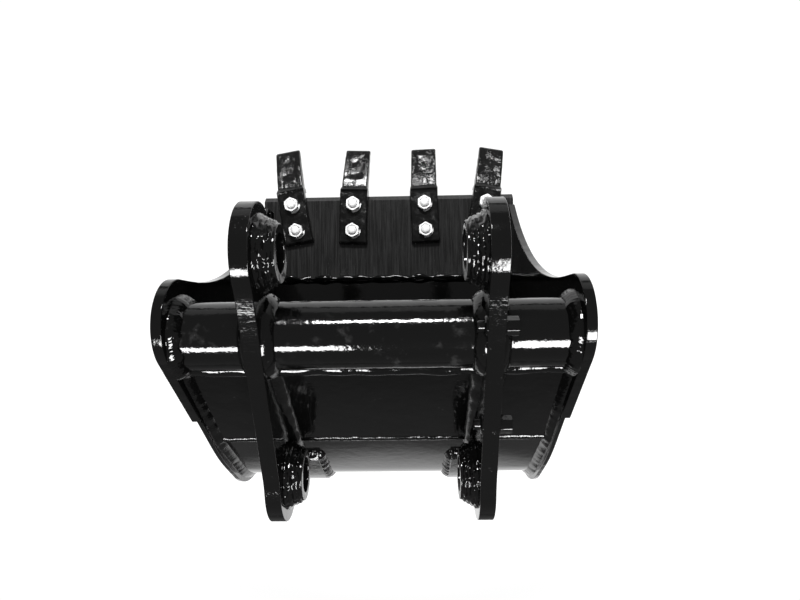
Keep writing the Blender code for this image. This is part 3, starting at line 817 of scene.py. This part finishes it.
def makeStrapWelds():
    for hand, side in hands.items():
        low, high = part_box("heel_strap_" + hand)
        start = (seam.y - high.z) / math.cos(shell["sheetLean"]) + beadLook["overlap"]
        run = strapRun(start, beadLook["underStrap"])
        for at, (x, way) in enumerate(((low.x, -1), (high.x, 1))):
            weld("strapWeld_%s_%d" % (hand, at), sideFillets(run, x, way),
                 seed=101 + side * 3 + at, **beads["strap"])
        upper, upperOut = run[0]
        lower, lowerOut = run[-1]
        tips = (
            (upper + sheetDown * beadLook["overlap"], upperOut, -sheetDown),
            (lower, lowerOut, leftOf(lowerOut)),
        )
        for at, (spot, out, away) in enumerate(tips):
            weld("strapEndWeld_%s_%d" % (hand, at),
                 acrossFillet(spot, out, away, out + away, low.x, high.x),
                 seed=121 + side * 3 + at, **beads["strapEnd"])


def makeStudWelds():  # where the keeper studs come through the right ear
    for place in ends:
        spot = planar(middleOf("keeper_stud_" + place))
        run = roundRun(spot, beadLook["studRadius"])
        weld("studWeld_" + place, sideFillets(run, earInner, -1),
             seed=131, closed=True, **beads["stud"])


makeShellWelds()
makeTubeWelds()
makeEarWelds()
makeSideJoints()
makeStrapWelds()
makeStudWelds()
print("welds made")


# teeth: cast shapes, fine and uneven

toothLook = {
    "foot": 0.092, "half": 0.0335, "footHalf": 0.0343, "thick": 0.018, "setback": 0.025,
    "reach": 0.114, "bend": 0.013, "fall": 0.009, "drop": 0.0075, "bladeHalf": 0.0313,
    "tipHalf": 0.0298, "tip": 0.0085, "bulge": 0.003, "corner": 0.0034, "draft": 0.0008,
    "ridge": 0.0022, "ridgeWidth": 0.0036, "hollow": 0.0024, "step": 0.0015, "under": 0.0015,
    "clear": 0.0003,  # over the lip
    "footEnd": (-0.082, -0.076),  # where the wider foot ends
    "hollowStart": (0.022, 0.042),  # how far past the bend the blade's hollow deepens
    "hollowEnd": (0.034, 0.008),  # how far before the tip it runs out
    "hollowEdge": (0.005, 0.021),  # and how far in from the sides
    "bladeTurns": (-6.0, 5.2, 0.6, 8.0),  # degrees towards +X, as if set by hand
}


def eased(value, low, high):
    t = max(0.0, min(1.0, (value - low) / (high - low)))
    return t * t * (3 - 2 * t)


def toothRing(y, hook, seed):
    look = toothLook
    corner, under = look["corner"], look["under"]
    bend = look["setback"] + look["bend"]
    slope = bend + look["fall"]
    tip = look["setback"] + look["reach"]
    seat = lipHigh.z + look["clear"]
    top = seat + look["thick"]
    fall = eased(y, bend, slope)
    half = look["half"] + (look["footHalf"] - look["half"]) * (1 - eased(y, *look["footEnd"]))
    half += (look["bladeHalf"] - half) * fall
    high = top + look["ridge"] * math.exp(-((y - bend + 0.001) / look["ridgeWidth"]) ** 2)
    if y > bend:
        t = max(0.0, (y - slope) / (tip - slope))
        half += (look["tipHalf"] - look["bladeHalf"]) * t
        end = under + look["tip"]
        high = (top - look["drop"] * fall) * (1 - t) + end * t + 4 * look["bulge"] * t * (1 - t)
    low = seat if y < hook else under
    for edge in (y + look["foot"], tip - y):
        if edge < corner:
            high -= 0.8 * (corner - edge)
            half -= 0.3 * (corner - edge)
    near, far = look["hollowStart"]
    cup = look["hollow"] * eased(y, bend + near, bend + far)
    far, near = look["hollowEnd"]
    cup *= 1 - eased(y, tip - far, tip - near)
    rise = high - corner - low - under
    flank = [low + under + rise * at / 6 for at in range(6)]
    points = [(-half, z) for z in flank]
    for at in range(41):
        u = at / 20 - 1
        x = half * (1.25 * u - 0.25 * u ** 3)
        edge = half - abs(x)
        z = high - cup * eased(edge, *look["hollowEdge"])
        if edge < corner:
            z -= corner - math.sqrt(max(0.0, corner ** 2 - (corner - edge) ** 2))
        points.append((x, z))
    points += [(half, z) for z in reversed(flank)]
    inset = half - under
    points += [(inset, low), (0.0, low), (-inset, low)]
    ring = []
    for x, z in points:  # the cast skin's unevenness, and the draft of the flanks
        spot = Vector((x, y, z))
        push = 0.0005 * noise.noise(spot * 75 + Vector((0, 0, seed)))
        push += 0.00014 * noise.noise(spot * 240) + 0.00005 * noise.noise(spot * 620)
        above = eased(z, low + under, high - corner)
        draft = look["draft"] * above * (1 if x > 0 else -1)
        ring.append(Vector((x - draft + push * (x / half), y, z + push * above)))
    return ring


def makeTooth(number, stand, turn):
    look = toothLook
    blade = math.tan(math.radians(look["bladeTurns"][number - 1]) + turn)
    hook = look["setback"] + 0.0015 + look["half"] * math.tan(abs(turn))
    tip = look["setback"] + look["reach"]
    count = round((tip + look["foot"]) / look["step"])
    places = [-look["foot"] + (tip + look["foot"]) * at / count for at in range(count + 1)]
    rings = []
    for y in sorted(places + [hook - 0.0001, hook]):
        lean = Vector((max(0.0, y - look["setback"]) * blade, 0, 0))
        rings.append([stand @ (point + lean) for point in toothRing(y, hook, number)])
    mesh = sheetOf(rings)
    shade(mesh, 50)
    addPiece("castTooth_%d" % number, mesh, "cast", ("tooth_%d" % number,))


# fasteners: M20 on the teeth, and smaller keeper studs in the right ear

threadLook = {
    "pitch": 0.0025, "depth": 0.0014, "point": 0.0018, "sides": 64,
    "start": 0.003,  # under the nut's top, as the rest is hidden in it
    "trim": 0.0008,  # what the rounded tip stands over the thread's end
}
tipLook = ((0.86, 0.0006), (0.78, 0.0015), (0.66, 0.0021), (0.45, 0.0024), (0.2, 0.0026))
boltLook = {"radius": 0.010, "endRadius": 0.0172, "endDepth": 0.009}
studLook = {"radius": 0.008, "endRadius": 0.0066, "endDepth": 0.0018}
nutLook = {"flats": 0.030, "bore": 0.0103}
keeperNutLook = {"flats": 0.024, "bore": 0.0083}
nutEdges = {
    "chamfer": 0.0022, "mouth": 0.0021, "mouthDepth": 0.0030, "face": 0.0004,
    "cone": 1.75, "blunt": 0.0003, "sides": 96,
}
washerLook = {
    "radius": 0.0185, "bore": 0.0103, "underEdge": 0.0004, "topEdge": 0.0006, "sides": 72,
}


def hexReach(angle, flats):
    wedge = (angle + math.pi / 6) % (math.pi / 3) - math.pi / 6
    return flats / 2 / math.cos(wedge)


def nutMesh(look, height, matrix):
    flats, bore, sides = look["flats"], look["bore"], nutEdges["sides"]
    half = flats / 2
    widest = flats / math.sqrt(3) - nutEdges["blunt"]
    mouth = [
        (bore, nutEdges["mouthDepth"]), (bore + nutEdges["mouth"], 0.0),
        (half - nutEdges["face"], 0.0),
    ]
    steps = [nutEdges["chamfer"] * share for share in (0.0, 0.15, 0.35, 0.6, 0.85, 1.1)]
    rings = [circle(matrix, sides, z, lambda angle: radius) for radius, z in mouth]
    for z in steps + [height - step for step in reversed(steps)]:
        cone = half + nutEdges["face"] + min(z, height - z) * nutEdges["cone"]
        rings.append(circle(
            matrix, sides, z, lambda angle: min(hexReach(angle, flats), cone, widest)))
    rings += [
        circle(matrix, sides, height - z, lambda angle: radius) for radius, z in reversed(mouth)
    ]
    mesh = sheetOf(rings, closedRun=True)
    shade(mesh, 28)
    return mesh


def boltMesh(look, low, threadLow, high, matrix):
    radius, pitch, sides = look["radius"], threadLook["pitch"], threadLook["sides"]
    point = high - threadLook["point"]
    levels = [(look["endRadius"], low), (radius, low + look["endDepth"]), (radius, threadLow)]
    z = threadLow
    while z < point:
        z += pitch / 12
        levels.append((radius, z))
    rings = []
    for width, height in levels:
        def reachAt(angle):
            if height <= threadLow:
                return width
            beat = (height / pitch - angle / (2 * math.pi)) % 1
            return width - threadLook["depth"] * abs(2 * beat - 1)
        rings.append(circle(matrix, sides, height, reachAt))
    for share, lift in tipLook:
        rings.append(circle(matrix, sides, point + lift, lambda angle: radius * share))
    mesh = sheetOf(rings)
    shade(mesh, 40)
    return mesh


def makeToothAndFasteners(number):
    spots = {place: middleOf("tooth_bolt_%d_%s" % (number, place)) for place in ends}
    shank = spots["front"] - spots["rear"]
    turn = math.atan2(-shank.x, shank.y)
    stands = {
        place: Matrix.Translation((spot.x, spot.y, 0)) @ Matrix.Rotation(turn, 4, "Z")
        for place, spot in spots.items()
    }
    makeTooth(number, stands["front"], turn)
    for place, stand in stands.items():
        tag = "%d_%s" % (number, place)
        boltLow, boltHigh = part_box("tooth_bolt_" + tag)
        nutLow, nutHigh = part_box("tooth_nut_" + tag)
        washLow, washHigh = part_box("tooth_washer_" + tag)
        nut = nutMesh(nutLook, nutHigh.z - nutLow.z, stand @ Matrix.Translation((0, 0, nutLow.z)))
        addPiece("hexNut_" + tag, nut, "zinc", ("tooth_nut_" + tag,))
        radius, bore = washerLook["radius"], washerLook["bore"]
        under, top = washerLook["underEdge"], washerLook["topEdge"]
        washer = turned([
            (bore, washLow.z), (radius - under, washLow.z), (radius, washLow.z + under),
            (radius, washHigh.z - top), (radius - top, washHigh.z), (bore, washHigh.z),
        ], washerLook["sides"], stand)
        shade(washer)
        addPiece("flatWasher_" + tag, washer, "washer", ("tooth_washer_" + tag,))
        start, end = nutHigh.z - threadLook["start"], boltHigh.z - threadLook["trim"]
        bolt = boltMesh(boltLook, boltLow.z, start, end, stand)
        addPiece("plowBolt_" + tag, bolt, "zinc", ("tooth_bolt_" + tag,))


def makeKeepers():
    for place in ends:
        nutLow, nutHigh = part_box("keeper_nut_" + place)
        studLow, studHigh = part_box("keeper_stud_" + place)
        stand = alongX(0, planar(middleOf("keeper_stud_" + place)))
        nutStand = stand @ Matrix.Translation((0, 0, nutLow.x))
        nut = nutMesh(keeperNutLook, nutHigh.x - nutLow.x, nutStand)
        addPiece("keeperNut_" + place, nut, "weld", ("keeper_nut_" + place,))
        start, end = nutHigh.x - threadLook["start"], studHigh.x - threadLook["trim"]
        stud = boltMesh(studLook, studLow.x, start, end, stand)
        addPiece("keeperStud_" + place, stud, "weld", ("keeper_stud_" + place,))


for number in (1, 2, 3, 4):
    makeToothAndFasteners(number)
makeKeepers()
print("teeth and fasteners made")


# floor, lamps, world and camera

studio = {
    "floorSize": 2.6,
    "paper": 0.93,
    "unlitPaper": 0.05,
    "paperGlow": 1.03,
    "seenGlow": (0.80, 0.20),  # share of the glow that the camera sees near, and more far out
    "seenReach": (0.45, 0.9),
    "mirroredGlow": 0.85,
    "whiteMiddle": (0.0, 0.62, 0.0),  # the painted lit part of the paper, which the gloss paint mirrors
    "whiteReach": (1.17, 1.38),
    "lampHeight": 2.0,
    "lamps": {  # they all face straight down
        "leftKey": {"x": -0.635, "y": -1.36, "length": 0.77, "width": 0.62, "glow": 52.0},
        "rightKey": {"x": 0.73, "y": -1.17, "length": 0.62, "width": 0.84, "glow": 52.0},
        "frontFill": {"x": -0.08, "y": 1.36, "length": 0.64, "width": 0.34, "glow": 125.0},
    },
    "roomGlow": 0.25,
    "horizonGlow": 0.5,  # more of it low down in front
}
cameraLook = {
    "lens": 27,
    "sensor": 36,
    "place": (0.053, -0.048, 1.4567),
    "turns": ((-0.81, "Z"), (2.0, "X"), (1.15, "Y")),  # degrees, from straight down
}
white = (1, 1, 1, 1)


def makeFloor():
    mesh = bpy.data.meshes.new("paperSheet")
    work = bmesh.new()
    bmesh.ops.create_circle(work, cap_ends=True, segments=96, radius=studio["floorSize"])
    work.to_mesh(mesh)
    work.free()
    floor = bpy.data.objects.new("paperSheet", mesh)
    floor.location.z = -0.0005
    bpy.context.scene.collection.objects.link(floor)
    made, graph = newMaterial("whitePaper")
    away = graph.length(graph.vector("SUBTRACT", graph.place((1, 1, 0)), studio["whiteMiddle"]))
    seen = graph.node("ShaderNodeLightPath", None, None, "Is Camera Ray")
    mirrored = graph.node("ShaderNodeLightPath", None, None, "Is Glossy Ray")
    near = 1 - away.band(*studio["whiteReach"])
    beside = graph.length(graph.place((1, 1, 0))).band(*studio["seenReach"])
    nearGlow, farGlow = studio["seenGlow"]
    # painted light: the paper is white in a pool round the bucket and near black beyond, and inside
    # the pool it glows for glossy rays, so the gloss paint mirrors a bright pool of light
    share = seen * (nearGlow + beside * farGlow) + mirrored * near * studio["mirroredGlow"]
    colour = graph.blend(near, grey(studio["unlitPaper"]), grey(studio["paper"]))
    paper = graph.node("ShaderNodeBsdfDiffuse", None, {"Color": colour})
    light = {"Color": white, "Strength": studio["paperGlow"]}
    glow = graph.node("ShaderNodeEmission", None, light)
    both = graph.node("ShaderNodeMixShader", None, {0: share, 1: paper, 2: glow})
    graph.node("ShaderNodeOutputMaterial", None, {"Surface": both})
    mesh.materials.append(made)


def makeLamp(name, lamp):
    data = bpy.data.lights.new(name, "AREA")
    data.shape = "RECTANGLE"
    data.size = lamp["length"]
    data.size_y = lamp["width"]
    data.energy = lamp["glow"] * math.pi * lamp["length"] * lamp["width"]
    made = bpy.data.objects.new(name, data)
    made.location = (lamp["x"], lamp["y"], studio["lampHeight"])
    bpy.context.scene.collection.objects.link(made)


def makeWorld():
    world = bpy.data.worlds.new("whiteRoom")
    bpy.context.scene.world = world
    world.use_nodes = True
    graph = Graph(world.node_tree)
    seen = graph.node("ShaderNodeLightPath", None, None, "Is Camera Ray")
    way = graph.node("ShaderNodeTexCoord")
    ahead = graph.axis(way, "Y").band(0.55, 0.9) * (1 - graph.axis(way, "Z").band(0.08, 0.20))
    glow = studio["roomGlow"] + ahead * studio["horizonGlow"]
    room = graph.node("ShaderNodeBackground", None, {"Color": white, "Strength": glow})
    plain = graph.node("ShaderNodeBackground", None, {"Color": white, "Strength": 1.0})
    both = graph.node("ShaderNodeMixShader", None, {0: seen, 1: room, 2: plain})
    graph.node("ShaderNodeOutputWorld", None, {"Surface": both})


def makeCamera():
    data = bpy.data.cameras.new("camera")
    data.lens = cameraLook["lens"]
    data.sensor_width = cameraLook["sensor"]
    data.clip_end = 50
    camera = bpy.data.objects.new("camera", data)
    facing = Matrix.Identity(4)
    for angle, axis in cameraLook["turns"]:
        facing = facing @ Matrix.Rotation(math.radians(angle), 4, axis)
    camera.matrix_world = Matrix.Translation(cameraLook["place"]) @ facing
    bpy.context.scene.collection.objects.link(camera)
    bpy.context.scene.camera = camera


makeFloor()
for name, lamp in studio["lamps"].items():
    makeLamp(name, lamp)
makeWorld()
makeCamera()
bpy.context.scene.view_settings.view_transform = "Standard"
print("studio made")
